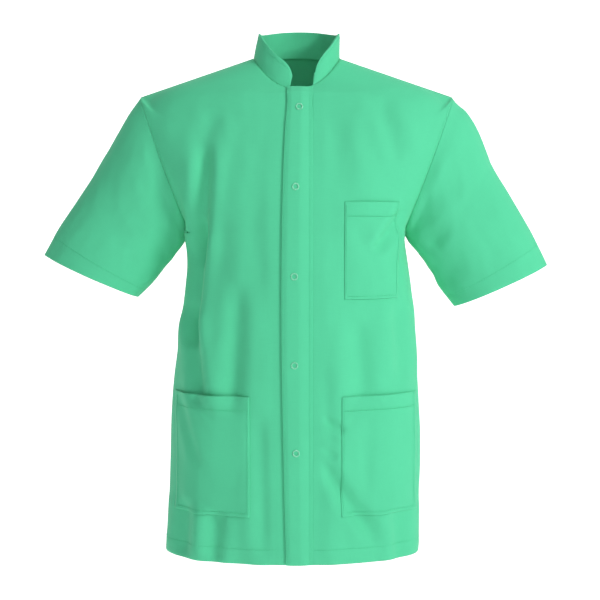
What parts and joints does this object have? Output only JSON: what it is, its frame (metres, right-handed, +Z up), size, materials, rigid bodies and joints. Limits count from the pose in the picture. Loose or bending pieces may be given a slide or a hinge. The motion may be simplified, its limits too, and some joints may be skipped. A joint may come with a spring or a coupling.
{
  "type": "short-sleeved tunic",
  "caption": "Short-sleeved work tunic with a stand collar, a full-length press-stud front, a chest pocket and two hip patch pockets.",
  "frame": {"origin": "middle of the shoulder line, level with the high points of the shoulders, where a wearer or a form carries the tunic", "axes": "+Z up, front of the tunic faces -Y, wearer's left is +X"},
  "size_m": [0.7704, 0.2499, 0.7918],
  "materials": {
    "tunic_cloth": "matt",
    "interlining": "matt",
    "stud_cap": "pearl",
    "stud_metal": "satin"
  },
  "bodies": {
    "torso": {"back_hem": "tunic_cloth", "back_panel": "tunic_cloth", "chest_pocket": "tunic_cloth", "collar_inner": "tunic_cloth", "collar_interlining": "interlining", "collar_outer": "tunic_cloth", "left_front_chest": "tunic_cloth", "left_placket_top": "tunic_cloth", "right_front_chest": "tunic_cloth", "right_placket_top": "tunic_cloth", "stud_1_back_ring": "stud_metal", "stud_1_cap": "stud_cap", "stud_1_socket": "stud_metal", "stud_1_stud": "stud_metal", "stud_2_back_ring": "stud_metal", "stud_2_cap": "stud_cap", "stud_2_socket": "stud_metal", "stud_2_stud": "stud_metal", "stud_3_back_ring": "stud_metal", "stud_3_cap": "stud_cap", "stud_3_socket": "stud_metal", "stud_3_stud": "stud_metal"},
    "left_lower_front": {"left_front_hem": "tunic_cloth", "left_front_skirt": "tunic_cloth", "left_hip_pocket": "tunic_cloth", "left_placket_skirt": "tunic_cloth", "stud_4_cap": "stud_cap", "stud_4_socket": "stud_metal", "stud_5_cap": "stud_cap", "stud_5_socket": "stud_metal"},
    "right_lower_front": {"right_front_hem": "tunic_cloth", "right_front_skirt": "tunic_cloth", "right_hip_pocket": "tunic_cloth", "right_placket_skirt": "tunic_cloth", "stud_4_stud": "stud_metal", "stud_4_back_ring": "stud_metal", "stud_5_stud": "stud_metal", "stud_5_back_ring": "stud_metal"},
    "left_sleeve": {"left_sleeve_cloth": "tunic_cloth", "left_sleeve_hem": "tunic_cloth"},
    "right_sleeve": {"right_sleeve_cloth": "tunic_cloth", "right_sleeve_hem": "tunic_cloth"}
  },
  "joints": [
    {"name": "left_front_swing", "type": "hinge", "parent": "torso", "child": "left_lower_front", "pos_m": [0.1935, 0, -0.55], "axis": [0, 0, 1], "range_deg": [0, 45]},
    {"name": "right_front_swing", "type": "hinge", "parent": "torso", "child": "right_lower_front", "pos_m": [-0.1935, 0, -0.55], "axis": [0, 0, -1], "range_deg": [0, 18]},
    {"name": "left_sleeve_raise", "type": "hinge", "parent": "torso", "child": "left_sleeve", "pos_m": [0.238, 0, -0.0555], "axis": [0, -1, 0], "range_deg": [0, 30]},
    {"name": "right_sleeve_raise", "type": "hinge", "parent": "torso", "child": "right_sleeve", "pos_m": [-0.238, 0, -0.0555], "axis": [0, 1, 0], "range_deg": [0, 30]}
  ],
  "couplings": [
    {"joint": "right_front_swing", "follows": "left_front_swing", "ratio": 0.4}
  ]
}
